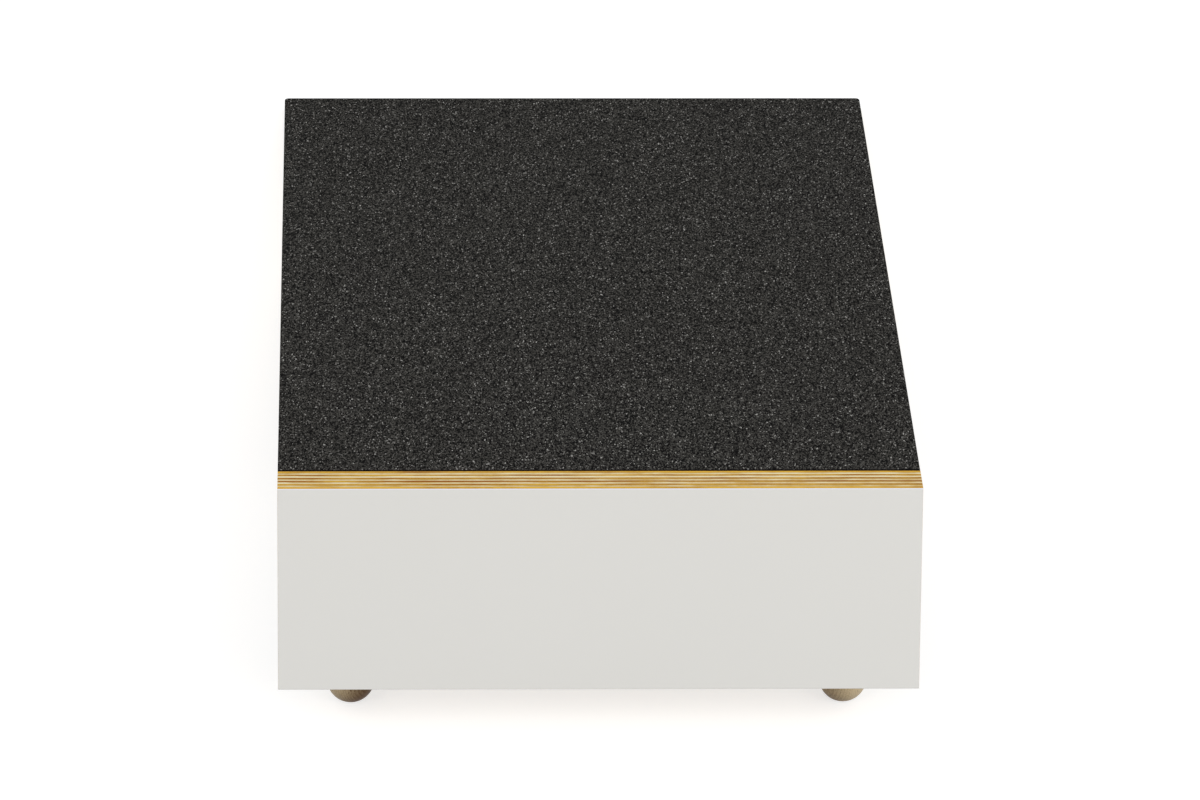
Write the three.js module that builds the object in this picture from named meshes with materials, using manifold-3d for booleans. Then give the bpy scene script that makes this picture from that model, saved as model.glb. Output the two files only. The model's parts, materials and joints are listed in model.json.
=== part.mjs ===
// A fold-flat loading ramp, in millimetres.
// A plywood deck with a grip sheet rests on a laminated riser at its tall end and lies on the
// ground at its toe. The riser and a mid leg hang on piano hinges under the deck, and two tie
// bars keep them parallel, so both fold flat against the deck's frame in one movement.
// +X is to the right, +Y runs towards the toe and +Z is up. The origin is on the ground, under
// the middle of the whole ramp. Pieces are drawn in the deck's own frame: its top plane is
// z = 0, its y runs down the slope, and y = 0 is the riser's front face.

import * as THREE from 'three';
import { mergeVertices } from 'three/addons/utils/BufferGeometryUtils.js';
import Module from 'manifold-3d';

const wasm = await Module();
wasm.setup();

// The ramp as a whole
const RAMP_WIDTH = 400;
const DECK_RUN = 775;
const FRONT_HEIGHT = 165.8;
const TOE_EDGE_HEIGHT = 8;

// Clearances: a glue line, a piece resting on its seat, and a piece that runs past another
const BOND = 0.15;
const SEAT = 0.3;
const RUNNING = 0.5;

// Deck panel and the grip sheet glued to it, which stops short of the toe
const GRIP_THICKNESS = 2;
const GRIP_TOE_SETBACK = 0.5;
const DECK_PLY = 18;
const TOE_CORNER_RADIUS = 3;

// Frame under the deck
const FRAME_DEPTH = 32;
const FRAME_CHAMFER = 1.5;
const RAIL_THICKNESS = 20;
const RAIL_INSET = 1;
const RAIL_NOSE_DEPTH = 6;
const LEAF_EDGE = 2;
const REAR_BATTEN_WIDTH = 26;
const REAR_BATTEN_SETBACK = 12;

// Rubber pads on the ground
const PAD_THICKNESS = 2.5;
const PAD_MARGIN = 3;
const LEG_PAD_LENGTH = 60;
const LEG_LIFT = 0.5;

// Riser: a plywood core faced with laminate on both sides
const RISER_PLY = 30;
const LAMINATE = 0.8;
const LAMINATE_ARRIS = 0.4;

// Foot rail and ball feet behind the riser
const FOOT_RAIL_DEPTH = 30;
const FOOT_RAIL_HEIGHT = 18;
const FOOT_RAIL_RAISE = 1.6;
const FOOT_END_INSET = 15;
const FOOT_RADIUS = 15;
const FOOT_NECK = 12.4;
const FOOT_FLAT = 0.6;
const FOOT_BOLT_RADIUS = 3;
const FOOT_BOLT_HEAD_RADIUS = 5.8;
const FOOT_BOLT_HEAD = 4;
const FOOT_BOLT_REACH = 12;

// Piano hinges
const KNUCKLE_RADIUS = 3;
const KNUCKLE_COUNT = 11;
const HINGE_PIN_RADIUS = 1.5;
const LEAF_THICKNESS = 1.2;
const LEAF_WIDTH = 20;
const LEAF_SCREWS = 6;
const SCREW_HOLE_RADIUS = 1.8;

// Mid leg
const LEG_PLY = 18;
const LEG_SETBACK = 240;

// Tie bars, their brackets and pivot pins
const TIE_WIDTH = 14;
const TIE_THICKNESS = 3;
const TIE_SIDE_ROOM = 2;
const TIE_FOLD_ROOM = 3.5;
const TIE_STAND_OFF_ROOM = 2.5;
const BRACKET_THICKNESS = 2.5;
const BRACKET_FLANGE = 20;
const BRACKET_HEIGHT = 24;
const PIVOT_RADIUS = 3;
const PIVOT_HEAD_RADIUS = 5.5;
const PIVOT_HEAD = 2.5;
const PIVOT_TAIL = 1.5;

// Magnet catches that hold the folded riser
const MAGNET_RADIUS = 8;
const MAGNET_GAP = 0.5;
const MAGNET_REACH = 60;
const KEEPER_RADIUS = 9;
const KEEPER_THICKNESS = 1.5;
const CATCH_SCREW_RADIUS = 1.6;

// Facets on round pieces
const FINE = 32;
const COARSE = 16;
const FOOT_ARC_STEPS = 14;

const slope = Math.asin((FRONT_HEIGHT - TOE_EDGE_HEIGHT) / DECK_RUN);

// Levels in the deck's frame, from the top down
const deckTop = -(GRIP_THICKNESS + BOND);
const deckBottom = deckTop - DECK_PLY;
const frameTop = deckBottom - BOND;
const frameBottom = frameTop - FRAME_DEPTH;
const frameLevels = [frameBottom, frameTop];
const hingeZ = frameBottom - SEAT - KNUCKLE_RADIUS;

// Stations down the slope
const hingeOffset = KNUCKLE_RADIUS + SEAT;
const riserBack = RISER_PLY + 2 * (LAMINATE + BOND);
const deckFront = riserBack + SEAT;
const riserHingeY = riserBack + hingeOffset;
const legHingeY = riserHingeY + LEG_SETBACK;
const legBack = legHingeY - hingeOffset;
const battenReach = LEAF_WIDTH + LEAF_EDGE;

// Places across the ramp, from a side rail inwards
const railOuter = RAMP_WIDTH / 2 - RAIL_INSET;
const railInner = railOuter - RAIL_THICKNESS;
const railMiddle = (railOuter + railInner) / 2;
const pivotHeadOuter = railInner - TIE_SIDE_ROOM;
const tieOuter = pivotHeadOuter - PIVOT_HEAD - SEAT;
const tieInner = tieOuter - TIE_THICKNESS;
const lugOuter = tieInner - RUNNING;
const lugInner = lugOuter - BRACKET_THICKNESS;
const foldingHalf = lugOuter - 2 * RUNNING;
const hingeHalf = lugInner - BRACKET_FLANGE - PAD_MARGIN;

// Pivots of the parallel linkage, as offsets from the hinge axes
const pivotBehind = BRACKET_THICKNESS + SEAT + TIE_WIDTH / 2 + TIE_STAND_OFF_ROOM - hingeOffset;
const pivotBelow = battenReach + TIE_WIDTH / 2 + TIE_FOLD_ROOM;
const pivotZ = hingeZ - pivotBelow;
const midStretch = [legBack - LEG_PLY, legHingeY + battenReach];
const midLevel = hingeZ + pivotBehind + TIE_WIDTH / 2 + TIE_SIDE_ROOM;

// Feet: the balls touch the ground, and the riser ends just below the rail that they carry
const footX = foldingHalf - FOOT_END_INSET;
const footY = riserBack + SEAT + FOOT_RAIL_DEPTH / 2;
const footZ = levelAt(footY, FOOT_RADIUS - FOOT_FLAT);
const footRailBottom = footZ + FOOT_NECK + SEAT;
const footRailTop = footRailBottom + FOOT_RAIL_HEIGHT;
const riserBottom = footRailBottom - FOOT_RAIL_RAISE;

// Where the frame meets the ground
const railHeelY = stationAt(frameBottom, PAD_THICKNESS + BOND);
const railNoseY = stationAt(frameTop - RAIL_NOSE_DEPTH, PAD_THICKNESS + BOND);
const toeBevelY = stationAt(deckBottom, PAD_THICKNESS + BOND);
const rearEnd = railHeelY - REAR_BATTEN_SETBACK;

// The z in the deck's frame of a point at station y and a given height over the ground.
function levelAt(y, height) {
  return (height - FRONT_HEIGHT + y * Math.sin(slope)) / Math.cos(slope);
}

// The station in the deck's frame of a point at level z and a given height over the ground.
function stationAt(z, height) {
  return (FRONT_HEIGHT - height + z * Math.cos(slope)) / Math.sin(slope);
}

// Finishes
const GRIP = { color: 0x373634, roughness: 0.95, metalness: 0 };
const PLYWOOD = { color: 0xc9ab74, roughness: 0.6, metalness: 0 };
const TIMBER = { color: 0xbfa070, roughness: 0.65, metalness: 0 };
const WHITE = { color: 0xdbdad6, roughness: 0.4, metalness: 0 };
const BACKING = { color: 0x1e1c1d, roughness: 0.5, metalness: 0 };
const BEECH = { color: 0x9a8970, roughness: 0.5, metalness: 0 };
const STEEL = { color: 0xb4b6b8, roughness: 0.35, metalness: 1 };
const MAGNET = { color: 0x8f9296, roughness: 0.3, metalness: 1 };
const RUBBER = { color: 0x1f1f20, roughness: 0.85, metalness: 0 };

// Solids from closed geometries, and back
function solidOf(geometry) {
  const bare = geometry.clone();
  bare.deleteAttribute('normal');
  bare.deleteAttribute('uv');
  const merged = mergeVertices(bare, 1e-4);
  const vertProperties = new Float32Array(merged.attributes.position.array);
  const triVerts = new Uint32Array(merged.index.array);
  return new wasm.Manifold(new wasm.Mesh({ numProp: 3, vertProperties, triVerts }));
}

function geometryOf(solid) {
  const mesh = solid.getMesh();
  const geometry = new THREE.BufferGeometry();
  geometry.setAttribute('position', new THREE.BufferAttribute(mesh.vertProperties, 3));
  geometry.setIndex(new THREE.BufferAttribute(mesh.triVerts, 1));
  geometry.computeVertexNormals();
  return geometry;
}

function cut(body, tools) {
  const left = tools.reduce((solid, tool) => solid.subtract(solidOf(tool)), solidOf(body));
  return geometryOf(left);
}

function join(pieces) {
  const [first, ...others] = pieces.map(solidOf);
  return geometryOf(others.reduce((solid, other) => solid.add(other), first));
}

// Basic forms, all in the deck's frame
function block([x0, x1], [y0, y1], [z0, z1]) {
  const box = new THREE.BoxGeometry(x1 - x0, y1 - y0, z1 - z0);
  return box.translate((x0 + x1) / 2, (y0 + y1) / 2, (z0 + z1) / 2);
}

function outline(points) {
  return new THREE.Shape(points.map(([a, b]) => new THREE.Vector2(a, b)));
}

// A rectangle with its four corners taken off
function chamferedOutline([a0, a1], [b0, b1], chamfer) {
  return outline([
    [a0 + chamfer, b0],
    [a1 - chamfer, b0],
    [a1, b0 + chamfer],
    [a1, b1 - chamfer],
    [a1 - chamfer, b1],
    [a0 + chamfer, b1],
    [a0, b1 - chamfer],
    [a0, b0 + chamfer],
  ]);
}

// A section drawn in y and z, run along x
function runAcross(section, [x0, x1]) {
  const run = new THREE.ExtrudeGeometry(section, {
    depth: x1 - x0,
    bevelEnabled: false,
    curveSegments: COARSE / 2,
  });
  const axes = new THREE.Matrix4().makeBasis(
    new THREE.Vector3(0, 1, 0),
    new THREE.Vector3(0, 0, 1),
    new THREE.Vector3(1, 0, 0),
  );
  return run.applyMatrix4(axes).translate(x0, 0, 0);
}

// An outline drawn in x and y, run up along z
function runUp(shape, [z0, z1]) {
  const run = new THREE.ExtrudeGeometry(shape, {
    depth: z1 - z0,
    bevelEnabled: false,
    curveSegments: COARSE / 2,
  });
  return run.translate(0, 0, z0);
}

function rodAcross(radius, [x0, x1], y, z, facets) {
  const rod = new THREE.CylinderGeometry(radius, radius, x1 - x0, facets);
  return rod.rotateZ(Math.PI / 2).translate((x0 + x1) / 2, y, z);
}

function rodUp(radius, x, y, [z0, z1], facets) {
  const rod = new THREE.CylinderGeometry(radius, radius, z1 - z0, facets);
  return rod.rotateX(Math.PI / 2).translate(x, y, (z0 + z1) / 2);
}

// A rod through a board that stands across the slope
function rodAlong(radius, x, [y0, y1], z, facets) {
  const rod = new THREE.CylinderGeometry(radius, radius, y1 - y0, facets);
  return rod.translate(x, (y0 + y1) / 2, z);
}

// Everything lower than a height over the ground, seen from the deck's tilted frame
function belowHeight(height) {
  const size = 3 * (DECK_RUN + RAMP_WIDTH);
  const box = new THREE.BoxGeometry(size, size, size);
  return box.translate(0, 0, height - FRONT_HEIGHT - size / 2).rotateX(slope);
}

// The stretch between two x values on one side of the ramp, -1 for left and 1 for right
function onSide(side, inner, outer) {
  return side < 0 ? [-outer, -inner] : [inner, outer];
}

// A plate with rounded corners at the toe end
function deckOutline(setback) {
  const half = RAMP_WIDTH / 2;
  const turn = half - TOE_CORNER_RADIUS;
  const end = DECK_RUN - setback - TOE_CORNER_RADIUS;
  const shape = new THREE.Shape();
  shape.moveTo(-half, deckFront);
  shape.lineTo(half, deckFront);
  shape.lineTo(half, end);
  shape.absarc(turn, end, TOE_CORNER_RADIUS, 0, Math.PI / 2);
  shape.absarc(-turn, end, TOE_CORNER_RADIUS, Math.PI / 2, Math.PI);
  shape.lineTo(-half, deckFront);
  return shape;
}

// Deck pieces
function deckPanel() {
  const panel = runUp(deckOutline(0), [deckBottom, deckTop]);
  return cut(panel, [belowHeight(PAD_THICKNESS + BOND)]);
}

function gripSheet() {
  return runUp(deckOutline(GRIP_TOE_SETBACK), [-GRIP_THICKNESS, 0]);
}

function batten(stretch, levels) {
  const section = chamferedOutline(stretch, levels, FRAME_CHAMFER);
  const half = railInner - SEAT;
  return runAcross(section, [-half, half]);
}

// The mid batten is shallow, and a shorter bearer under it carries the mid leg's hinge. Past the
// bearer's ends the tie bars lie beside it when folded.
function midBatten() {
  return batten(midStretch, [midLevel, frameTop]);
}

function midBearer() {
  const section = chamferedOutline(midStretch, [frameBottom, midLevel - BOND], FRAME_CHAMFER);
  return runAcross(section, [-foldingHalf, foldingHalf]);
}

// A side rail is cut level with the ground towards the toe and ends in a blunt nose.
function sideRail(side) {
  const section = outline([
    [deckFront, frameTop],
    [deckFront, frameBottom + FRAME_CHAMFER],
    [deckFront + FRAME_CHAMFER, frameBottom],
    [railHeelY, frameBottom],
    [railNoseY, frameTop - RAIL_NOSE_DEPTH],
    [railNoseY, frameTop],
  ]);
  return runAcross(section, onSide(side, railInner, railOuter));
}

// A strip of rubber lying on the ground between two stations of the deck
function groundStrip(y0, y1, stretch, low, high) {
  const section = outline([
    [y0, levelAt(y0, low)],
    [y1, levelAt(y1, low)],
    [y1, levelAt(y1, high)],
    [y0, levelAt(y0, high)],
  ]);
  return runAcross(section, stretch);
}

function railPad(side) {
  const stretch = onSide(side, railInner + PAD_MARGIN, railOuter - PAD_MARGIN);
  return groundStrip(railHeelY + PAD_MARGIN, railNoseY - PAD_MARGIN, stretch, 0, PAD_THICKNESS);
}

function toePad() {
  const half = RAMP_WIDTH / 2 - TOE_CORNER_RADIUS;
  const end = DECK_RUN - PAD_MARGIN;
  return groundStrip(toeBevelY + PAD_MARGIN, end, [-half, half], 0, PAD_THICKNESS);
}

// Piano hinge, with its axis on x at the origin. The leaf reaches out along +y, on the upper
// side of the knuckles (side 1) or on their lower side (side -1).
function hingeLeaf(side, firstKnuckle) {
  const pitch = (2 * hingeHalf) / KNUCKLE_COUNT;
  const faces = [side * KNUCKLE_RADIUS, side * (KNUCKLE_RADIUS - LEAF_THICKNESS)];
  const thickness = [Math.min(...faces), Math.max(...faces)];
  const plate = block([-hingeHalf, hingeHalf], [0, LEAF_WIDTH], thickness);
  const knuckles = [];
  const gaps = [rodAcross(HINGE_PIN_RADIUS + SEAT, [-RAMP_WIDTH, RAMP_WIDTH], 0, 0, COARSE)];
  for (let i = 0; i < KNUCKLE_COUNT; i += 1) {
    const start = -hingeHalf + i * pitch;
    const stretch = [start, start + pitch];
    if (i % 2 === firstKnuckle) {
      knuckles.push(rodAcross(KNUCKLE_RADIUS, stretch, 0, 0, COARSE));
    } else {
      const reach = KNUCKLE_RADIUS + RUNNING;
      const wider = [start - SEAT, start + pitch + SEAT];
      gaps.push(block(wider, [-reach, reach], [-reach, reach]));
    }
  }
  for (let i = 0; i < LEAF_SCREWS; i += 1) {
    const x = -hingeHalf + ((i + 0.5) * 2 * hingeHalf) / LEAF_SCREWS;
    const y = (LEAF_WIDTH + KNUCKLE_RADIUS) / 2;
    gaps.push(rodUp(SCREW_HOLE_RADIUS, x, y, [-2 * KNUCKLE_RADIUS, 2 * KNUCKLE_RADIUS], COARSE));
  }
  return cut(join([plate, ...knuckles]), gaps);
}

function deckLeaf(y) {
  return hingeLeaf(1, 0).translate(0, y, hingeZ);
}

function hangingLeaf(y) {
  return hingeLeaf(-1, 1).rotateX(-Math.PI / 2).translate(0, y, hingeZ);
}

function hingePin(y) {
  return rodAcross(HINGE_PIN_RADIUS, [-hingeHalf, hingeHalf], y, hingeZ, COARSE);
}

// Riser pieces
function riserCore() {
  const front = LAMINATE + BOND;
  const half = RAMP_WIDTH / 2;
  return block([-half, half], [front, front + RISER_PLY], [riserBottom, 0]);
}

// A laminate sheet with a small arris along its outer long edges, facing -y (1) or +y (-1)
function laminate(outerFace, towards) {
  const inner = outerFace + towards * LAMINATE;
  const edge = outerFace + towards * LAMINATE_ARRIS;
  const section = outline([
    [outerFace, riserBottom + LAMINATE_ARRIS],
    [edge, riserBottom],
    [inner, riserBottom],
    [inner, 0],
    [edge, 0],
    [outerFace, -LAMINATE_ARRIS],
  ]);
  return runAcross(section, [-RAMP_WIDTH / 2, RAMP_WIDTH / 2]);
}

function footRail() {
  const front = riserBack + SEAT;
  const span = [front, front + FOOT_RAIL_DEPTH];
  const section = chamferedOutline(span, [footRailBottom, footRailTop], FRAME_CHAMFER);
  const rail = runAcross(section, [-foldingHalf, foldingHalf]);
  const through = [footRailBottom - SEAT, footRailTop + SEAT];
  const holes = [-footX, footX].map((x) =>
    rodUp(FOOT_BOLT_RADIUS + SEAT, x, footY, through, COARSE),
  );
  return cut(rail, holes);
}

// A ball foot, flat on top where it meets its rail and a little flat where it stands
function ballFoot(x) {
  const profile = [new THREE.Vector2(0, -FOOT_RADIUS)];
  const top = Math.asin(FOOT_NECK / FOOT_RADIUS);
  for (let i = 1; i <= FOOT_ARC_STEPS; i += 1) {
    const angle = -Math.PI / 2 + ((top + Math.PI / 2) * i) / FOOT_ARC_STEPS;
    const point = new THREE.Vector2(Math.cos(angle), Math.sin(angle));
    profile.push(point.multiplyScalar(FOOT_RADIUS));
  }
  profile.push(new THREE.Vector2(0, FOOT_NECK));
  const ball = new THREE.LatheGeometry(profile, FINE);
  ball.rotateX(Math.PI / 2).translate(x, footY, footZ);
  const depth = footRailBottom - FOOT_BOLT_REACH - 2 * SEAT;
  const bore = rodUp(FOOT_BOLT_RADIUS + SEAT, x, footY, [depth, footRailBottom], COARSE);
  return cut(ball, [belowHeight(0), bore]);
}

function footBolt(x) {
  const end = footRailBottom - FOOT_BOLT_REACH;
  const seat = footRailTop + SEAT;
  const shank = rodUp(FOOT_BOLT_RADIUS, x, footY, [end, seat + FOOT_BOLT_HEAD / 2], COARSE);
  const head = rodUp(FOOT_BOLT_HEAD_RADIUS, x, footY, [seat, seat + FOOT_BOLT_HEAD], 6);
  return join([shank, head]);
}

// Mid leg: a board whose top edge bears on the mid batten and whose foot is cut level
function midLegPanel() {
  const board = block(
    [-foldingHalf, foldingHalf],
    [legBack - LEG_PLY, legBack],
    [levelAt(legBack - LEG_PLY, 0) - LEG_PLY, frameBottom - SEAT],
  );
  return cut(board, [belowHeight(LEG_LIFT + PAD_THICKNESS + BOND)]);
}

function midLegPad(side) {
  const stretch = onSide(side, foldingHalf - PAD_MARGIN - LEG_PAD_LENGTH, foldingHalf - PAD_MARGIN);
  const near = legBack - LEG_PLY + PAD_MARGIN / 2;
  return groundStrip(near, legBack - PAD_MARGIN / 2, stretch, LEG_LIFT, LEG_LIFT + PAD_THICKNESS);
}

// Tie bracket on the back face of a board: a screwed flange, and a lug round the pivot
function tieBracket(side, back) {
  const seat = back + SEAT;
  const pivotY = back + hingeOffset + pivotBehind;
  const lugRadius = TIE_WIDTH / 2 + BRACKET_THICKNESS / 2;
  const low = pivotZ - lugRadius;
  const high = low + BRACKET_HEIGHT;
  const lug = new THREE.Shape();
  lug.moveTo(seat, low);
  lug.lineTo(pivotY, low);
  lug.absarc(pivotY, pivotZ, lugRadius, -Math.PI / 2, Math.PI / 2);
  lug.lineTo(seat, pivotZ + lugRadius);
  lug.closePath();
  const plate = runAcross(lug, onSide(side, lugInner, lugOuter));
  const flange = block(
    onSide(side, lugInner - BRACKET_FLANGE, lugOuter),
    [seat, seat + BRACKET_THICKNESS],
    [low, high],
  );
  const screwX = side * (lugInner - BRACKET_FLANGE / 2);
  const through = [seat - SEAT, seat + BRACKET_THICKNESS + SEAT];
  const holes = [1, 3].map((quarter) =>
    rodAlong(SCREW_HOLE_RADIUS, screwX, through, low + (quarter * BRACKET_HEIGHT) / 4, COARSE),
  );
  const across = onSide(side, lugInner - RUNNING, lugOuter + RUNNING);
  holes.push(rodAcross(PIVOT_RADIUS + SEAT, across, pivotY, pivotZ, COARSE));
  return cut(join([plate, flange]), holes);
}

// Tie bar: a flat steel bar with round ends and a hole at each pivot
function tieBar(side) {
  const front = riserHingeY + pivotBehind;
  const rear = legHingeY + pivotBehind;
  const shape = new THREE.Shape();
  shape.moveTo(front, pivotZ - TIE_WIDTH / 2);
  shape.lineTo(rear, pivotZ - TIE_WIDTH / 2);
  shape.absarc(rear, pivotZ, TIE_WIDTH / 2, -Math.PI / 2, Math.PI / 2);
  shape.lineTo(front, pivotZ + TIE_WIDTH / 2);
  shape.absarc(front, pivotZ, TIE_WIDTH / 2, Math.PI / 2, 1.5 * Math.PI);
  const bar = runAcross(shape, onSide(side, tieInner, tieOuter));
  const across = onSide(side, tieInner - RUNNING, tieOuter + RUNNING);
  const holes = [front, rear].map((y) =>
    rodAcross(PIVOT_RADIUS + SEAT, across, y, pivotZ, COARSE),
  );
  return cut(bar, holes);
}

// Pivot pin: a rivet through a lug and a tie bar, with its head outside
function pivotPin(side, back) {
  const y = back + hingeOffset + pivotBehind;
  const tailOuter = lugInner - SEAT;
  const tailInner = tailOuter - PIVOT_TAIL;
  const shank = rodAcross(PIVOT_RADIUS, onSide(side, tailInner, pivotHeadOuter), y, pivotZ, COARSE);
  const headStretch = onSide(side, pivotHeadOuter - PIVOT_HEAD, pivotHeadOuter);
  const head = rodAcross(PIVOT_HEAD_RADIUS, headStretch, y, pivotZ, COARSE);
  const tailRadius = (PIVOT_RADIUS + PIVOT_HEAD_RADIUS) / 2;
  const tail = rodAcross(tailRadius, onSide(side, tailInner, tailOuter), y, pivotZ, COARSE);
  return join([shank, head, tail]);
}

// Magnet catch: a cup magnet under each side rail meets a steel keeper on the folded riser.
function cupMagnet(side) {
  const x = side * railMiddle;
  const y = riserHingeY + MAGNET_REACH;
  const top = frameBottom - SEAT;
  const room = 2 * hingeOffset - 2 * SEAT - KEEPER_THICKNESS - MAGNET_GAP;
  const cup = rodUp(MAGNET_RADIUS, x, y, [top - room, top], FINE);
  return cut(cup, [rodUp(CATCH_SCREW_RADIUS, x, y, [top - room - SEAT, top + SEAT], COARSE)]);
}

function keeper(side) {
  const x = side * railMiddle;
  const z = hingeZ - MAGNET_REACH;
  const seat = riserBack + SEAT;
  const disc = rodAlong(KEEPER_RADIUS, x, [seat, seat + KEEPER_THICKNESS], z, FINE);
  const through = [seat - SEAT, seat + KEEPER_THICKNESS + SEAT];
  return cut(disc, [rodAlong(CATCH_SCREW_RADIUS, x, through, z, COARSE)]);
}

// The scene graph. Each turning group has its own origin on its pivot.
function turningGroup(parent, y, z) {
  const group = new THREE.Group();
  group.userData.pivot = new THREE.Vector3(0, y, z);
  group.position.subVectors(group.userData.pivot, parent.userData.pivot);
  parent.add(group);
  return group;
}

function hang(group, name, finish, geometry) {
  const { y, z } = group.userData.pivot;
  const mesh = new THREE.Mesh(geometry.translate(0, -y, -z), new THREE.MeshStandardMaterial(finish));
  mesh.name = name;
  group.add(mesh);
}

function onBothSides(build) {
  build(-1, 'left');
  build(1, 'right');
}

// How far the riser's lower edge and the toe reach from the deck's upper front edge, level
const frontReach = (riserBottom + LAMINATE_ARRIS) * Math.sin(slope);
const toeReach = DECK_RUN * Math.cos(slope) + deckTop * Math.sin(slope);

const ramp = new THREE.Group();

const deck = new THREE.Group();
deck.userData.pivot = new THREE.Vector3(0, 0, 0);
deck.rotation.x = -slope;
deck.position.y = -(frontReach + toeReach) / 2;
deck.position.z = FRONT_HEIGHT;
ramp.add(deck);

hang(deck, 'grip_sheet', GRIP, gripSheet());
hang(deck, 'deck_panel', PLYWOOD, deckPanel());
hang(deck, 'front_batten', TIMBER, batten([deckFront, riserHingeY + battenReach], frameLevels));
hang(deck, 'mid_batten', TIMBER, midBatten());
hang(deck, 'mid_bearer', TIMBER, midBearer());
hang(deck, 'rear_batten', TIMBER, batten([rearEnd - REAR_BATTEN_WIDTH, rearEnd], frameLevels));
hang(deck, 'toe_pad', RUBBER, toePad());
hang(deck, 'riser_hinge_deck_leaf', STEEL, deckLeaf(riserHingeY));
hang(deck, 'riser_hinge_pin', STEEL, hingePin(riserHingeY));
hang(deck, 'leg_hinge_deck_leaf', STEEL, deckLeaf(legHingeY));
hang(deck, 'leg_hinge_pin', STEEL, hingePin(legHingeY));
onBothSides((side, word) => {
  hang(deck, `side_rail_${word}`, TIMBER, sideRail(side));
  hang(deck, `ground_pad_${word}`, RUBBER, railPad(side));
  hang(deck, `cup_magnet_${word}`, MAGNET, cupMagnet(side));
});

const riser = turningGroup(deck, riserHingeY, hingeZ);
hang(riser, 'riser_core', PLYWOOD, riserCore());
hang(riser, 'riser_front_laminate', WHITE, laminate(0, 1));
hang(riser, 'riser_back_laminate', BACKING, laminate(riserBack, -1));
hang(riser, 'riser_hinge_riser_leaf', STEEL, hangingLeaf(riserHingeY));
hang(riser, 'foot_rail', TIMBER, footRail());
onBothSides((side, word) => {
  hang(riser, `ball_foot_${word}`, BEECH, ballFoot(side * footX));
  hang(riser, `foot_bolt_${word}`, STEEL, footBolt(side * footX));
  hang(riser, `keeper_${word}`, STEEL, keeper(side));
  hang(riser, `riser_tie_bracket_${word}`, STEEL, tieBracket(side, riserBack));
  hang(riser, `riser_pivot_pin_${word}`, STEEL, pivotPin(side, riserBack));
});

const midLeg = turningGroup(deck, legHingeY, hingeZ);
hang(midLeg, 'mid_leg_panel', PLYWOOD, midLegPanel());
hang(midLeg, 'leg_hinge_leg_leaf', STEEL, hangingLeaf(legHingeY));
onBothSides((side, word) => {
  hang(midLeg, `mid_leg_pad_${word}`, RUBBER, midLegPad(side));
  hang(midLeg, `leg_tie_bracket_${word}`, STEEL, tieBracket(side, legBack));
  hang(midLeg, `leg_pivot_pin_${word}`, STEEL, pivotPin(side, legBack));
});

onBothSides((side, word) => {
  const tie = turningGroup(riser, riserHingeY + pivotBehind, pivotZ);
  hang(tie, `tie_bar_${word}`, STEEL, tieBar(side));
});

export default ramp;
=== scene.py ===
"""A fold-flat loading ramp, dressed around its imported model.

Pieces are shaped in the deck's own frame, in which the deck lies level: x is to the right, y runs
down the slope from the riser's front face, and z = 0 is the tread. Each finished piece is then
laid on the slope, with its object left at the origin. Everything is in metres.
"""

import json
import math

import bmesh
import bpy
from bpy.props import FloatProperty, FloatVectorProperty, IntProperty, PointerProperty
from mathutils import Matrix, Vector


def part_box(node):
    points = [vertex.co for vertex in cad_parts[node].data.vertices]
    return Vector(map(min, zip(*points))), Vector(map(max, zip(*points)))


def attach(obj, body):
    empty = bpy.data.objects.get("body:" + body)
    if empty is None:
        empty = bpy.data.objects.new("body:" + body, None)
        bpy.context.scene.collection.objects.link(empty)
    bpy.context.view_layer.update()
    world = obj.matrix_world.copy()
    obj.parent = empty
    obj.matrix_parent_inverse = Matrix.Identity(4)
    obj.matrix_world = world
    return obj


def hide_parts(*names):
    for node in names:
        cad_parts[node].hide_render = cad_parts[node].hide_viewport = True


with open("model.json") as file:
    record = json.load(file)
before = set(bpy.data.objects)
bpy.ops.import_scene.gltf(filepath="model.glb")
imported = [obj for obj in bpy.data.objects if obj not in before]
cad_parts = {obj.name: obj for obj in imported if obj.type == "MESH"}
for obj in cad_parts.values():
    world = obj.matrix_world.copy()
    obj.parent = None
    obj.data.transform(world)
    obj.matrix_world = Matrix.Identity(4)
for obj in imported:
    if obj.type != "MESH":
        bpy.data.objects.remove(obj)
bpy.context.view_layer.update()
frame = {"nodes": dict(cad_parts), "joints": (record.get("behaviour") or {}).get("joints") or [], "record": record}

bl_info = {
    "name": "Folding ramp",
    "version": (1, 0, 0),
    "blender": (4, 5, 0),
    "location": "3D View > Sidebar > Ramp",
    "description": "Shapes and finishes the pieces of a fold-flat loading ramp on its frame",
    "category": "Object",
}

HAIR = 1e-5
WELD = HAIR / 10
SIDES = {"left": -1, "right": 1}
WHITE = (1.0, 1.0, 1.0, 1.0)

# The two boards that hang on hinges: the word in their pieces' names, and their body
HUNG = {"riser": "riser", "leg": "mid_leg"}

# Turns that point a turned piece down, back towards the toe, or out to the right
DOWN = Matrix.Rotation(math.pi, 4, "X")
BACK = Matrix.Rotation(math.radians(-90), 4, "X")
OUT = Matrix.Rotation(math.radians(90), 4, "Y")

KNUCKLE_ROLL = math.radians(292)

# The magnets' and keepers' faces, as steps below the face and inwards from the side, and their
# countersunk holes, as steps below the face and radii. Then how deep the screws sit in them.
CUP_RIM = (
    (0.0003, 0), (0, 0.0004), (0, 0.0013), (0.0006, 0.0014), (0.0006, 0.0021), (0.0001, 0.0023)
)
CUP_HOLE = ((0.0001, 0.0034), (0.0016, 0.0019), (0.0026, 0.0018))
KEEPER_RIM = ((0.0005, 0), (0.0002, 0.0002), (0, 0.0006))
KEEPER_HOLE = ((0, 0.0034), (0.0012, 0.0021))
CUP_SUNK, KEEPER_SUNK = 0.0006, 0.0004

# How far a cup stays inside its CAD node, how proud a flat screw stands, and the turn in radians
# from one screw's cross to the next one's
CUP_ROOM, FLAT_CROWN, SCREW_TURN = 0.0001, 0.0001, 1.9

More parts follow.
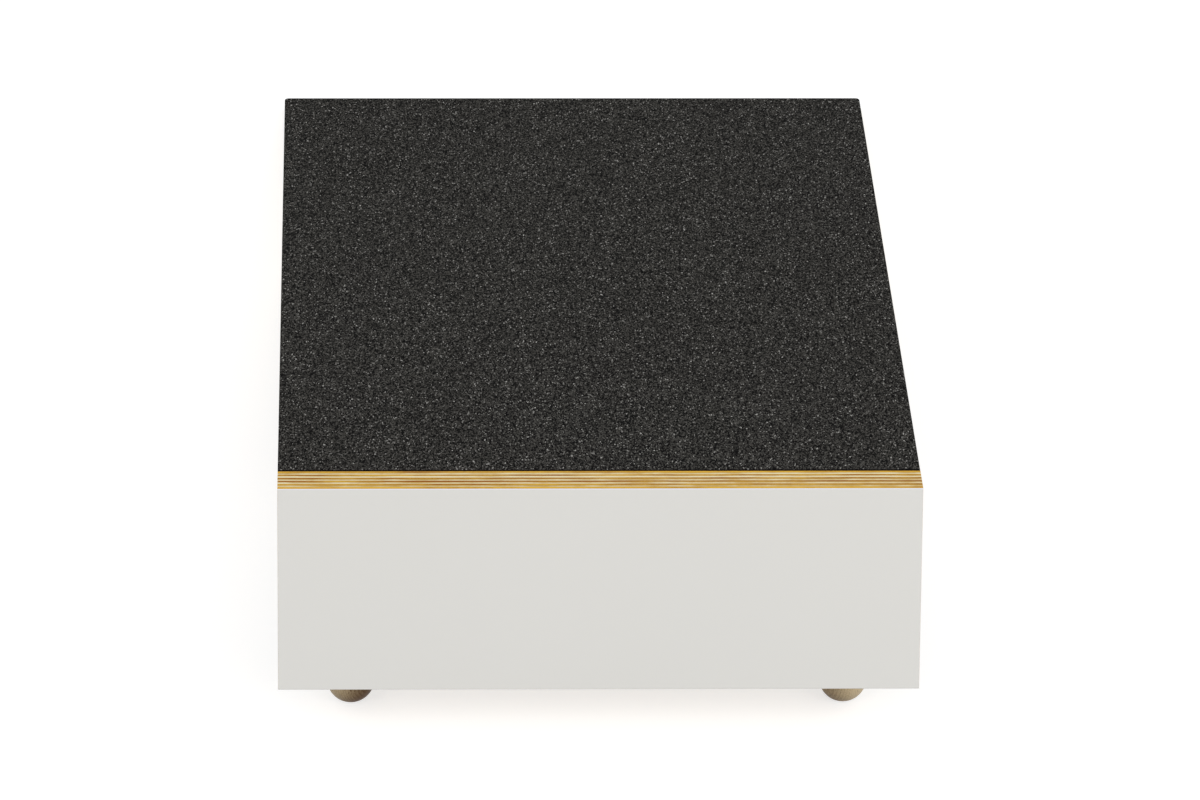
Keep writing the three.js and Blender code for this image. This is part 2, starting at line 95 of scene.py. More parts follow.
FLOOR_SIZE, FLOOR_DROP = 60, 0.0002
LAMP_PLACE, LAMP_AIM, LAMP_SIZE = Vector((2.5, -2.2, 1.5)), Vector((0, 0, 0.06)), 2.2

# The photo's camera: its place, its turn in radians and its lens in millimetres
CAMERA_PLACE = (-0.155336, -5.280746, 3.274579)
CAMERA_TURN = (1.01643109, -0.0131132798, -0.0232250802)
CAMERA_LENS = 282.03


# The deck's own frame


def mount(name):
    return next(m for m in frame["record"]["mounts"] if m["name"] == name)


def turned_box(node, turn):
    """A CAD node's lowest and highest corners after a turn."""
    points = [turn @ v.co for v in frame["nodes"][node].data.vertices]
    low = Vector([min(p[k] for p in points) for k in range(3)])
    high = Vector([max(p[k] for p in points) for k in range(3)])
    return low, high


SLOPE = math.asin(Vector(mount("deck_surface")["axis"]).y)
LEVEL = Matrix.Rotation(SLOPE, 4, "X")
RISER_FACE = turned_box("riser_front_laminate", LEVEL)[0].y
TREAD = turned_box("grip_sheet", LEVEL)[1].z
TO_DECK = Matrix.Translation((0, -RISER_FACE, -TREAD)) @ LEVEL
TO_ROW = TO_DECK.inverted()
UP = TO_DECK.to_3x3() @ Vector((0, 0, 1))


def deck_box(node):
    return turned_box(node, TO_DECK)


def hinge_axis(joint):
    """The y and z of a joint's axis in the deck's frame."""
    place = next(j["pos_m"] for j in frame["joints"] if j["name"] == joint)
    spot = TO_DECK @ Vector(place)
    return spot.y, spot.z


def level_with(height):
    """A level plane at a height over the ground: a point and its upward normal."""
    return TO_DECK @ Vector((0, 0, height)), UP


# Selecting and shaping


def clear_selection():
    if bpy.context.mode != "OBJECT":
        bpy.ops.object.mode_set(mode="OBJECT")
    bpy.ops.object.select_all(action="DESELECT")


def take(piece):
    """Makes a piece the only one selected."""
    clear_selection()
    piece.select_set(True)
    bpy.context.view_layer.objects.active = piece


def settle():
    """Applies the place, turn and scale of the selected piece."""
    bpy.ops.object.transform_apply(location=True, rotation=True, scale=True)


def put(piece, place):
    """Moves a piece by a matrix and leaves its object at the origin."""
    take(piece)
    piece.matrix_world = place
    settle()
    return piece


def middle(part):
    """The middle of an edge or a face."""
    points = [v.co for v in part.verts]
    return sum(points, Vector()) / len(points)


def at(value, wanted):
    return abs(value - wanted) < HAIR


def along(edge, axis):
    """True if an edge runs along an axis, 0 to 2."""
    run = edge.verts[1].co - edge.verts[0].co
    return abs(run[axis]) > 0.99 * run.length


def faces(part, axis, way):
    """True if a face looks along an axis, 0 to 2, one way or the other."""
    return part.normal[axis] * way > 0.99


def edit(piece, kind="FACE", wanted=lambda part: True):
    """Opens a piece for editing, with its wanted edges or faces selected."""
    take(piece)
    bpy.ops.object.mode_set(mode="EDIT")
    bpy.ops.mesh.select_mode(type=kind)
    bpy.ops.mesh.select_all(action="DESELECT")
    shape = bmesh.from_edit_mesh(piece.data)
    shape.normal_update()
    for part in shape.edges if kind == "EDGE" else shape.faces:
        if wanted(part):
            part.select_set(True)
    bmesh.update_edit_mesh(piece.data)


def close_edit():
    bpy.ops.object.mode_set(mode="OBJECT")


def pull(step):
    """Extrudes what is selected by a step."""
    bpy.ops.mesh.extrude_region_move(TRANSFORM_OT_translate={"value": step})


def box(name, low, high):
    """A block between two corners of the deck's frame, for shaping."""
    clear_selection()
    centre = [(high[k] + low[k]) / 2 for k in range(3)]
    bpy.ops.mesh.primitive_cube_add(size=1, location=centre)
    piece = bpy.context.active_object
    piece.name = name
    piece.scale = [high[k] - low[k] for k in range(3)]
    settle()
    return piece


def round_edges(piece, wanted, radius, segments):
    edit(piece, "EDGE", wanted)
    bpy.ops.mesh.bevel(offset=radius, segments=segments, affect="EDGES")
    close_edit()


def cut(piece, point, normal, clear=True):
    """Cuts a piece along a plane and, unless told otherwise, takes away what lies behind it."""
    edit(piece)
    bpy.ops.mesh.bisect(
        plane_co=point, plane_no=normal, use_fill=clear, clear_inner=clear, threshold=WELD
    )
    close_edit()


def ease(piece, width, angle=30):
    """Takes the sharpness off all edges steeper than an angle."""
    take(piece)
    bevel = piece.modifiers.new("Arris", "BEVEL")
    bevel.width = width
    bevel.segments = 2
    bevel.limit_method = "ANGLE"
    bevel.angle_limit = math.radians(angle)
    bpy.ops.object.modifier_apply(modifier=bevel.name)


def smooth(piece, angle=35):
    take(piece)
    bpy.ops.object.shade_smooth_by_angle(angle=math.radians(angle))


def face_outwards(piece):
    edit(piece)
    bpy.ops.mesh.remove_doubles(threshold=WELD)
    bpy.ops.mesh.normals_make_consistent(inside=False)
    close_edit()


def turned(name, stations, facets):
    """A turned piece with its axis on z, through (level, radius) stations."""
    clear_selection()
    level, radius = stations[0]
    bpy.ops.mesh.primitive_circle_add(
        vertices=facets, radius=radius, fill_type="NGON", location=(0, 0, level)
    )
    piece = bpy.context.active_object
    piece.name = name
    settle()
    edit(piece)
    for next_level, next_radius in stations[1:]:
        pull((0, 0, next_level - level))
        grow = next_radius / radius
        bpy.ops.transform.resize(value=(grow, grow, 1), center_override=(0, 0, next_level))
        level, radius = next_level, next_radius
    close_edit()
    face_outwards(piece)
    return piece


def join(pieces, name):
    take(pieces[0])
    for other in pieces[1:]:
        other.select_set(True)
    bpy.ops.object.join()
    pieces[0].name = name
    return pieces[0]


def copy_of(piece, name, place):
    """A copy with its own mesh, moved by a matrix."""
    take(piece)
    bpy.ops.object.duplicate(linked=False)
    twin = bpy.context.active_object
    twin.name = name
    return put(twin, place)


def remove(piece):
    bpy.data.objects.remove(piece)


def finish(piece, body, slot, material, *nodes):
    """Gives a piece its material and body, and hides the nodes that it stands for. The slot is not used."""
    piece.data.materials.clear()
    piece.data.materials.append(material)
    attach(piece, body)
    if nodes:
        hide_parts(*nodes)


def dress(node, name, width, body, slot, material):
    """Stands a copy in for a CAD node, cleaned of loose triangles and with eased edges."""
    piece = bpy.data.objects.new(name, frame["nodes"][node].data.copy())
    bpy.context.scene.collection.objects.link(piece)
    take(piece)
    bpy.ops.mesh.customdata_custom_splitnormals_clear()
    edit(piece)
    bpy.ops.mesh.remove_doubles(threshold=WELD)
    bpy.ops.mesh.dissolve_limited(angle_limit=math.radians(0.5))
    close_edit()
    ease(piece, width)
    finish(piece, body, slot, material, node)


def lay(piece, body, slot, material, node):
    """Lays a piece on the slope and finishes it."""
    put(piece, TO_ROW)
    finish(piece, body, slot, material, node)


def lay_pair(right, name, angle, body, slot, material, node):
    """Lays a right-hand piece and its mirror image. In the body, {} stands for the side."""
    left = copy_of(right, f"{name}_left", Matrix.Scale(-1, 4, (1, 0, 0)))
    face_outwards(left)
    right.name = f"{name}_right"
    for piece, side in ((right, "right"), (left, "left")):
        smooth(piece, angle)
        lay(piece, body.format(side), slot, material, f"{node}_{side}")


# Sizes and colours


def length(name, description, default):
    return FloatProperty(
        name=name, description=description, default=default, min=0, unit="LENGTH"
    )


def colour(name, description, red, green, blue):
    """A colour property, from the values that a screen shows."""
    screen = (red / 255, green / 255, blue / 255)
    linear = [v / 12.92 if v < 0.04045 else ((v + 0.055) / 1.055) ** 2.4 for v in screen]
    return FloatVectorProperty(
        name=name, description=description, default=linear, min=0, max=1, subtype="COLOR"
    )


class RampSizes(bpy.types.PropertyGroup):
    """Sizes that a user may change"""

    grip_rim: length("Grip rim", "Rounding of the grip sheet's upper rim", 0.0008)
    toe_corner: length("Toe corner", "Radius of the deck's corners at the toe", 0.003)
    grain: length("Grain", "Size of the grip sheet's grains", 0.00064)
    board_arris: length("Board arris", "Rounding of plywood edges", 0.0004)
    laminate_rim: length("Laminate rim", "Rounding of the laminates' outer rims", 0.0005)
    timber_arris: length("Timber arris", "Rounding of the frame's edges", 0.0007)
    pad_arris: length("Pad arris", "Rounding of the rubber pads", 0.0005)
    riser_plies: IntProperty(name="Riser plies", description="Plies in the riser", default=11)
    board_plies: IntProperty(name="Deck plies", description="Plies in deck and leg", default=7)
    foot_radius: length("Foot radius", "Radius of the ball feet", 0.015)
    foot_neck: length("Foot neck", "From a ball's middle up to its rail", 0.0124)
    leaf_thickness: length("Leaf", "Thickness of the hinge leaves", 0.0012)
    knuckle_room: length("Knuckle room", "Room round the other leaf's knuckles", 0.0005)
    knuckle_gap: length("Knuckle gap", "Half the gap between two knuckles", 0.00015)
    knuckles: IntProperty(name="Knuckles", description="Knuckles in a hinge", default=11)
    leaf_screws: IntProperty(name="Leaf screws", description="Screws in a leaf", default=6)
    screw_head: length("Screw head", "Radius of the screws' heads", 0.0032)
    screw_crown: length("Screw crown", "How proud a raised screw head stands", 0.0007)
    bracket_thickness: length("Bracket", "Thickness of the bent brackets", 0.0025)
    bracket_bend: length("Bracket bend", "Inner radius of the brackets' bend", 0.0015)
    shank: length("Shank", "Radius of the pivot pins", 0.003)


class RampColours(bpy.types.PropertyGroup):
    """Colours that a user may change"""

    # Grip ground is also the colour of the painted shade line along the riser
    grip_ground: colour("Grip ground", "The grip sheet between its grains", 4, 4, 4)
    grip_grain: colour("Grip grain", "Most of the grip sheet's grains", 81, 79, 75)
    grip_fleck: colour("Grip fleck", "The palest grains", 205, 202, 197)
    ply_cream: colour("Ply cream", "Palest parts of long grain at an edge", 255, 242, 198)
    ply_tan: colour("Ply tan", "Deeper parts of long grain at an edge", 210, 170, 88)
    ply_amber: colour("Ply amber", "Palest parts of end grain at an edge", 244, 192, 62)
    ply_brown: colour("Ply brown", "Deepest parts of end grain, and glue", 160, 92, 0)
    timber_pale: colour("Timber pale", "Softwood between its rings", 219, 190, 140)
    timber_ring: colour("Timber ring", "Softwood's late wood", 176, 130, 76)
    laminate: colour("Laminate", "The riser's front laminate", 220, 218, 213)
    # Laminate rim is the colour of a painted highlight along the laminate's upper rim
    laminate_rim: colour("Laminate rim", "The laminate's upper rim", 231, 234, 245)
    kraft: colour("Kraft", "Both laminates' brown core, at their cut edges", 198, 154, 84)
    backing: colour("Backing", "The riser's black backing laminate", 12, 12, 15)
    # Foot pale and foot dark also carry painted shade: the feet are painted darker on their inner sides, towards
    # their bottoms and over the whole left foot
    foot_pale: colour("Foot pale", "Sapwood of the stained feet", 219, 200, 164)
    foot_dark: colour("Foot dark", "Heartwood and pores of the stained feet", 82, 54, 18)
    zinc: colour("Zinc", "Zinc-plated steel", 184, 186, 188)
    nickel: colour("Nickel", "Nickel-plated cups", 168, 166, 160)
    rubber: colour("Rubber", "Ground pads", 34, 34, 35)


class RampStage(bpy.types.PropertyGroup):
    """Light and background"""

    sky: FloatProperty(name="Sky", description="Level of the even light", default=0.6, min=0)
    right_lamp: FloatProperty(name="Right", description="Right lamp", default=47, unit="POWER")
    left_lamp: FloatProperty(name="Left", description="Left lamp", default=36, unit="POWER")
    floor_tone: FloatProperty(name="Floor", description="Floor's own grey", default=0.6)
    floor_glow: FloatProperty(name="Glow", description="What the eye sees on top", default=0.66)


# Node helpers


def fill(tree, node, inputs):
    """Gives a node a value or a link for each of its inputs."""
    for key, value in inputs.items():
        if isinstance(value, bpy.types.NodeSocket):
            tree.links.new(value, node.inputs[key])
        else:
            node.inputs[key].default_value = value


def add(tree, kind, inputs=None, **settings):
    """Adds a node, with its settings and inputs."""
    made = tree.nodes.new("ShaderNode" + kind)
    for key, value in settings.items():
        setattr(made, key, value)
    fill(tree, made, inputs or {})
    return made


def calc(tree, operation, value, *others):
    """One Math node for a lone value, or one for each further value, from left to right."""
    if not others:
        return add(tree, "Math", {0: value}, operation=operation).outputs[0]
    for other in others:
        value = add(tree, "Math", {0: value, 1: other}, operation=operation).outputs[0]
    return value


def distance(tree, value, centre):
    return calc(tree, "ABSOLUTE", calc(tree, "SUBTRACT", value, centre))


def spread(tree, value, width):
    """Centres a noise on 0 and gives it a width."""
    inputs = {0: value, 1: width, 2: -width / 2}
    return add(tree, "Math", inputs, operation="MULTIPLY_ADD").outputs[0]


def uneven(tree, value, *noises):
    """Adds noises to a value, each with its own width."""
    return calc(tree, "ADD", value, *(spread(tree, part, width) for part, width in noises))


def band(tree, value, low, high, to_low=0.0, to_high=1.0):
    """Spreads a band of values over another one."""
    inputs = {0: value, 1: low, 2: high, 3: to_low, 4: to_high}
    return add(tree, "MapRange", inputs, interpolation_type="SMOOTHSTEP").outputs[0]


def mix_value(tree, factor, first, second):
    return add(tree, "Mix", {0: factor, 2: first, 3: second}).outputs[0]


def mix_colour(tree, factor, first, second):
    inputs = {0: factor, 6: first, 7: second}
    return add(tree, "Mix", inputs, data_type="RGBA").outputs[2]


def tint(name, share=1.0, lift=0.0):
    """One of the ramp's colours, as it is or made deeper or paler."""
    hue = getattr(bpy.context.scene.ramp_colours, name)
    return (*(min(1.0, v * share + lift) for v in hue), 1.0)


def vectors(tree, operation, first, second):
    return add(tree, "VectorMath", {0: first, 1: second}, operation=operation).outputs[0]


def axes(tree, vector):
    return add(tree, "SeparateXYZ", {0: vector}).outputs


def from_axes(tree, *parts):
    return add(tree, "CombineXYZ", dict(enumerate(parts))).outputs[0]


def noise(tree, vector, scale, detail=2.0, rough=0.5, drawn=None):
    """A noise, drawn out along each axis that has a factor below 1."""
    if drawn:
        vector = vectors(tree, "MULTIPLY", vector, drawn)
    inputs = {"Vector": vector, "Scale": scale, "Detail": detail, "Roughness": rough}
    return add(tree, "TexNoise", inputs).outputs[0]


def deck_place(tree):
    """Places in the deck's frame, from the object's own coordinates."""
    inputs = {
        "Vector": add(tree, "TexCoord").outputs["Object"],
        "Location": TO_DECK.to_translation(),
        "Rotation": TO_DECK.to_euler(),
    }
    return add(tree, "Mapping", inputs).outputs["Vector"]


def swapped(tree, vector, order, start=(0, 0, 0)):
    """Reorders a vector's axes, after taking a starting point away."""
    split = axes(tree, vectors(tree, "SUBTRACT", vector, start))
    return from_axes(tree, *(split[axis] for axis in order))


def effect(inputs, outputs):
    """Keeps a node group, made once and named after the function that builds its inside.

    That function gets the group and its inputs, and gives back a socket for each output. From
    then on it adds the group to a tree, with the inputs in order, and gives back the outputs.
    """

    def around(build):
        name = build.__name__.replace("_", " ")

        def new_group():
            group = bpy.data.node_groups.new(name, "ShaderNodeTree")
            for way, sockets in (("INPUT", inputs), ("OUTPUT", outputs)):
                for label, kind in sockets.items():
                    kind = "NodeSocket" + kind
                    group.interface.new_socket(name=label, in_out=way, socket_type=kind)
            start = group.nodes.new("NodeGroupInput").outputs
            end = group.nodes.new("NodeGroupOutput")
            fill(group, end, build(group, start))
            return group

        def used(tree, *values):
            group = bpy.data.node_groups.get(name) or new_group()
            return add(tree, "Group", dict(enumerate(values)), node_tree=group).outputs

        return used

    return around


# Effects that several materials share


@effect({"Vector": "Vector", "Ring Width": "Float"}, {"Ring": "Float", "Fibre": "Float"})
def planed_grain(tree, start):
    """Growth rings and fibres that run along the vector's x."""
    spot, heart = start["Vector"], (0.0, -0.021, -0.047)
    drawn = vectors(tree, "MULTIPLY", spot, (0.07, 1.0, 1.0))
    sway = add(tree, "TexNoise", {"Vector": drawn, "Scale": 22.0, "Detail": 3.0}).outputs[1]
    bent = vectors(tree, "ADD", drawn, vectors(tree, "MULTIPLY", sway, (0.0, 0.016, 0.016)))
    off = axes(tree, vectors(tree, "SUBTRACT", bent, heart))
    squares = [calc(tree, "MULTIPLY", side, side) for side in (off[1], off[2])]
    radius = calc(tree, "SQRT", calc(tree, "ADD", *squares))
    saw = calc(tree, "FRACT", calc(tree, "DIVIDE", radius, start["Ring Width"]))
    late = band(tree, saw, 0.35, 0.95)
    early = band(tree, saw, 0.95, 1.0, 1.0, 0.0)
    fibre = noise(tree, spot, 1400.0, 3.0, 0.6, (0.03, 1.0, 1.0))
    return {"Ring": calc(tree, "MULTIPLY", late, early), "Fibre": fibre}


@effect(
    {"Vector": "Vector", "Roughness": "Float", "Amount": "Float"},
    {"Roughness": "Float", "Dust": "Float"},
)
def handled(tree, start):
    """Faint uneven sheen, as hands and dust leave it."""
    wide = noise(tree, start["Vector"], 9.0, 4.0, 0.6)
    fine = noise(tree, start["Vector"], 260.0, 3.0, 0.6)
    both = mix_value(tree, 0.3, wide, fine)
    change = calc(tree, "MULTIPLY", spread(tree, both, 2.0), start["Amount"])
    roughness = calc(tree, "ADD", start["Roughness"], change)
    return {"Roughness": roughness, "Dust": band(tree, both, 0.45, 0.7)}


# Half the thickness of an odd ply, as a share of the mean ply's. The even plies are thicker.
ODD_HALF = 0.43


@effect(
    {"Vector": "Vector"}
    | dict.fromkeys(("Ply", "Plies", "End", "Seed"), "Float")
    | dict.fromkeys(("Cream", "Tan", "Amber", "Brown"), "Color"),
    {"Color": "Color", "Fibre": "Float"},
)
def ply_stack(tree, start):
    """Plies stacked along the vector's z. Odd ones have their grain along x, even ones along y.

    End is 1 on faces square to x, where the odd plies show end grain.
    """
    spot, plies = start["Vector"], start["Plies"]
    sway = noise(tree, spot, 24.0, 2.0, drawn=(1.0, 1.0, 0.1))
    through = uneven(tree, axes(tree, spot)[2], (sway, 0.0006))
    raw = calc(tree, "DIVIDE", through, start["Ply"])
    last = calc(tree, "SUBTRACT", plies, 0.1)
    depth = calc(tree, "MINIMUM", calc(tree, "MAXIMUM", raw, 0.1), last)
    beat = calc(tree, "MODULO", calc(tree, "ADD", depth, 0.5), 2.0)
    from_odd = distance(tree, beat, 1.0)
    even = calc(tree, "GREATER_THAN", from_odd, ODD_HALF)
    near = calc(tree, "SUBTRACT", depth, 0.5, even)
    pairs = calc(tree, "ROUND", calc(tree, "MULTIPLY", near, 0.5))
    index = calc(tree, "ADD", calc(tree, "MULTIPLY", pairs, 2.0), even)
    within = calc(tree, "SUBTRACT", depth, index)
    dark = distance(tree, even, start["End"])
    lot = calc(tree, "ADD", index, start["Seed"])
    tone = add(tree, "TexWhiteNoise", {"W": lot}, noise_dimensions="1D").outputs[0]

    apart = from_axes(tree, lot, calc(tree, "MULTIPLY", lot, 0.37))
    own = vectors(tree, "ADD", spot, apart)
    slow = noise(tree, own, 15.0, 4.0, 0.65)
    odd_fibre = noise(tree, own, 1300.0, 3.0, 0.6, (0.02, 1.0, 1.0))
    even_fibre = noise(tree, own, 1300.0, 3.0, 0.6, (1.0, 0.02, 1.0))
    fibre = mix_value(tree, even, odd_fibre, even_fibre)
    figure = noise(tree, own, 55.0, 4.0, 0.6, (0.1, 1.0, 1.0))

    rise = calc(tree, "MULTIPLY", band(tree, within, 0.15, 0.9), 0.45)
    grey = uneven(tree, rise, (fibre, 1.3), (tone, 0.7), (figure, 1.9))
    light = mix_colour(tree, band(tree, grey, -0.3, 0.95), start["Cream"], start["Tan"])
    from_core = distance(tree, calc(tree, "DIVIDE", depth, plies), 0.5)
    core = calc(tree, "MULTIPLY", calc(tree, "SUBTRACT", 0.25, from_core), 2.2)
    deep = uneven(tree, core, (slow, 3.4), (fibre, 0.9), (tone, 0.5))
    heart = mix_colour(tree, band(tree, deep, -0.75, 0.75), start["Amber"], start["Brown"])
    both = mix_colour(tree, dark, light, heart)

    below = calc(tree, "GREATER_THAN", depth, 0.5)
    above = calc(tree, "LESS_THAN", depth, calc(tree, "SUBTRACT", plies, 0.5))
    line = band(tree, distance(tree, from_odd, ODD_HALF), 0.0, 0.09, 0.55, 0.0)
    glue = calc(tree, "MULTIPLY", below, above, line)
    return {"Color": mix_colour(tree, glue, both, start["Brown"]), "Fibre": fibre}


# Materials


def surface(build):
    """Keeps a material, made once and named after the function that wires its tree.

    That function gets the tree, and the deck's places in it.
    """

    def made(*parts):
        name = " ".join([build.__name__.replace("_", " "), *parts])
        if name not in bpy.data.materials:
            material = bpy.data.materials.new(name)
            material.use_nodes = True
            build(material.node_tree, deck_place(material.node_tree), *parts)
        return bpy.data.materials[name]

    return made


def wire(tree, base, sheen, height, depth, strength, specular=0.5, metallic=0.0):
    """Leads a colour, a sheen and a bump of a given depth to a material's shader."""
    bump = add(tree, "Bump", {"Height": height, "Distance": depth, "Strength": strength})
    inputs = {
        "Base Color": base,
        "Roughness": sheen["Roughness"],
        "Normal": bump.outputs["Normal"],
        "Specular IOR Level": specular,
        "Metallic": metallic,
    }
    fill(tree, tree.nodes["Principled BSDF"], inputs)


@surface
def mineral_grip(tree, spot):
    """Black sheet with pressed grains, some of them pale and set in short chains.

    Its cut edges are left without grains, and so is a line along the riser, which is painted shade at the joint
    with the riser.
    """
    pressed = vectors(tree, "MULTIPLY", spot, (1.0, 0.42, 1.0))
    cells = {"Vector": pressed, "Scale": 1 / bpy.context.scene.ramp_sizes.grain, "Randomness": 1.0}
    grains = add(tree, "TexVoronoi", cells).outputs
    lot = add(tree, "SeparateColor", {0: grains["Color"]}).outputs
    clump = noise(tree, pressed, 160.0, 3.0)
    vein = calc(tree, "ABSOLUTE", spread(tree, noise(tree, pressed, 420.0, 1.0), 1.0))
    chain = band(tree, vein, 0.0, 0.05, 0.1, 0.0)
    drawn = calc(tree, "ADD", uneven(tree, lot[0], (clump, 0.06)), chain)
    ground = tint("grip_ground")
    body = mix_colour(tree, band(tree, drawn, 0.25, 0.98), ground, tint("grip_grain"))
    bright = band(tree, lot[1], 0.1, 1.0, 0.15, 1.0)
    fleck = calc(tree, "MULTIPLY", band(tree, drawn, 0.94, 1.05), bright)
    pressed_in = mix_colour(tree, fleck, body, tint("grip_fleck"))
    place = axes(tree, spot)
    # Painted shade: a grain-free dark line along the riser, at the joint. Below the top, the cut edges are
    # grain-free too
    first = deck_box("grip_sheet")[0].y
    clear = band(tree, place[1], first + 0.0013, first + 0.0019)
    above = band(tree, place[2], -0.0011, -0.0007)
    base = mix_colour(tree, calc(tree, "MULTIPLY", clear, above), ground, pressed_in)
    height = calc(tree, "SUBTRACT", lot[2], grains["Distance"])
    wire(tree, base, handled(tree, spot, 0.88, 0.08), height, 0.0002, 0.6, specular=0.03)


@surface
def plywood(tree, spot, board):
    """Lacquered plywood. Each board stacks its plies from its own first face."""
    sizes = bpy.context.scene.ramp_sizes
    node, order, plies, seed = {
        "riser": ("riser_core", (2, 0, 1), sizes.riser_plies, 5.0),
        "deck": ("deck_panel", (1, 0, 2), sizes.board_plies, 29.0),
        "leg": ("mid_leg_panel", (0, 2, 1), sizes.board_plies, 53.0),
    }[board]
    low, high = deck_box(node)
    run, through = order[0], order[2]
    own = swapped(tree, spot, order, low)
    half = (high[run] - low[run]) / 2
    off = distance(tree, axes(tree, own)[0], half)
    at_end = calc(tree, "GREATER_THAN", off, half - sizes.board_arris)
    ply = (high[through] - low[through]) / plies
    hues = [tint(f"ply_{word}") for word in ("cream", "tan", "amber", "brown")]
    stack = ply_stack(tree, own, ply, float(plies), at_end, seed, *hues)
    sheen = handled(tree, own, 0.6, 0.12)
    wire(tree, stack["Color"], sheen, stack["Fibre"], 0.00006, 0.7, specular=0.06)


@surface
def softwood(tree, spot, run):
    """Planed softwood, with its grain across the ramp or down the slope."""
    split = axes(tree, spot)
    if run == "across":
        parts = (split[0], calc(tree, "MODULO", split[1], 0.12), split[2])
    else:
        inner = deck_box("side_rail_right")[0].x
        beside = calc(tree, "SUBTRACT", calc(tree, "ABSOLUTE", split[0]), inner)
        parts = (split[1], beside, split[2])
    own = from_axes(tree, *parts)
    grain = planed_grain(tree, own, 0.0026)
    ring = calc(tree, "MULTIPLY", grain["Ring"], 0.7)
    tone = uneven(tree, ring, (grain["Fibre"], 0.55))
    base = mix_colour(tree, tone, tint("timber_pale"), tint("timber_ring"))
    height = calc(tree, "ADD", calc(tree, "MULTIPLY", ring, 0.5), grain["Fibre"])
    wire(tree, base, handled(tree, own, 0.58, 0.12), height, 0.00008, 0.6, specular=0.35)


@surface
def stained_beech(tree, spot):
    """Stained beech with fine dark pores, and painted shade on the feet.

    Each foot is painted darker on its inner side and towards its bottom, and the left foot is painted darker all
    over.
    """
    own = swapped(tree, spot, (2, 0, 1))
    grain = planed_grain(tree, own, 0.0016)
    pore = band(tree, noise(tree, own, 2300.0, 1.0, drawn=(0.35, 1.0, 1.0)), 0.56, 0.7)
    low, high = deck_box("ball_foot_right")
    place = axes(tree, own)
    across = calc(tree, "ABSOLUTE", place[1])
    # Painted shade: each foot darker on its inner side, the whole left foot darker, and both darker towards the
    # bottom
    inner_side_shade = band(tree, across, low.x + 0.003, high.x - 0.003, 0.6, 0.0)
    left = calc(tree, "MULTIPLY", calc(tree, "LESS_THAN", place[1], 0.0), 0.36)
    under = band(tree, place[0], low.z + 0.001, low.z + 0.013, 0.3, 0.0)
    stain_and_shade = calc(tree, "ADD", inner_side_shade, left, under, calc(tree, "MULTIPLY", pore, 0.35))
    tone = uneven(tree, stain_and_shade, (grain["Ring"], 0.12), (grain["Fibre"], 0.3))
    base = mix_colour(tree, tone, tint("foot_pale"), tint("foot_dark"))
    wire(tree, base, handled(tree, own, 0.5, 0.1), pore, 0.00004, 0.4, specular=0.3)


def laminate_core(tree, spot, node, way):
    """1 where a laminate's core shows, behind the thin sheet on its outer face."""
    low, high = deck_box(node)
    depth = axes(tree, spot)[1]
    if way < 0:
        return band(tree, depth, low.y + 0.0003, low.y + 0.0004)
    return band(tree, depth, high.y - 0.0007, high.y - 0.0006, 1.0, 0.0)


@surface
def satin_laminate(tree, spot):
    """Off-white laminate with a very fine pressed texture, and a painted highlight along its upper rim."""
    cloud = noise(tree, spot, 7.0, 3.0)
    field = mix_colour(tree, cloud, tint("laminate", 0.985), tint("laminate", 1.012))
    # Painted highlight: a bluish-white band along the laminate's upper rim, in the laminate rim colour
    rim = band(tree, axes(tree, spot)[2], -0.0007, -0.0002)
    outside = mix_colour(tree, rim, field, tint("laminate_rim"))
    core = laminate_core(tree, spot, "riser_front_laminate", -1)
    base = mix_colour(tree, core, outside, tint("kraft"))
    peel = noise(tree, spot, 900.0, 3.0, 0.6)
    wire(tree, base, handled(tree, spot, 0.42, 0.05), peel, 0.00003, 0.35, specular=0.35)


@surface
def black_backing(tree, spot):
    """Black backing laminate, sanded matt."""
    sheen = handled(tree, spot, 0.75, 0.1)
    outside = mix_colour(tree, sheen["Dust"], tint("backing"), tint("backing", 1.6, 0.002))
    core = laminate_core(tree, spot, "riser_back_laminate", 1)
    base = mix_colour(tree, core, outside, tint("kraft"))
    sanded = noise(tree, spot, 1800.0, 3.0, 0.6, (0.1, 1.0, 1.0))
    wire(tree, base, sheen, sanded, 0.00003, 0.5, specular=0.08)


@surface
def zinc_steel(tree, spot):
    """Zinc-plated steel: rolled, a little cloudy, with faint spangle."""
    spangle = add(tree, "TexVoronoi", {"Vector": spot, "Scale": 420.0}).outputs["Color"]
    lot = add(tree, "SeparateColor", {0: spangle}).outputs[0]
    tone = mix_value(tree, 0.6, lot, noise(tree, spot, 60.0, 4.0, 0.6))
    base = mix_colour(tree, tone, tint("zinc", 0.72), tint("zinc"))
    rolled = noise(tree, spot, 2600.0, 2.0, drawn=(0.05, 1.0, 1.0))
    wire(tree, base, handled(tree, spot, 0.36, 0.16), rolled, 0.00002, 0.3, metallic=1.0)


@surface
def nickel_cup(tree, spot):
    """Bright nickel plating with fine scuffs worn into it."""
    base = mix_colour(tree, noise(tree, spot, 90.0, 3.0), tint("nickel", 0.8), tint("nickel"))
    scuff = noise(tree, spot, 3000.0, 2.0, drawn=(1.0, 0.08, 1.0))
    wire(tree, base, handled(tree, spot, 0.24, 0.14), scuff, 0.00002, 0.25, metallic=1.0)


@surface
def black_rubber(tree, spot):
    """Matt black rubber, a little dusty."""
    sheen = handled(tree, spot, 0.8, 0.14)
    dust = calc(tree, "MULTIPLY", sheen["Dust"], 0.5)
    base = mix_colour(tree, dust, tint("rubber"), tint("rubber", 2.2, 0.01))
    pores = noise(tree, spot, 2200.0, 3.0, 0.7)
    wire(tree, base, sheen, pores, 0.00008, 0.5, specular=0.3)


# The pieces


def toe_sheet(name, node, corner):
    """A block as large as a CAD node, with round corners at the toe."""
    low, high = deck_box(node)
    sheet = box(name, low, high)
    toe = lambda e: along(e, 2) and middle(e).y > high.y - HAIR
    round_edges(sheet, toe, corner, 8)
    return sheet


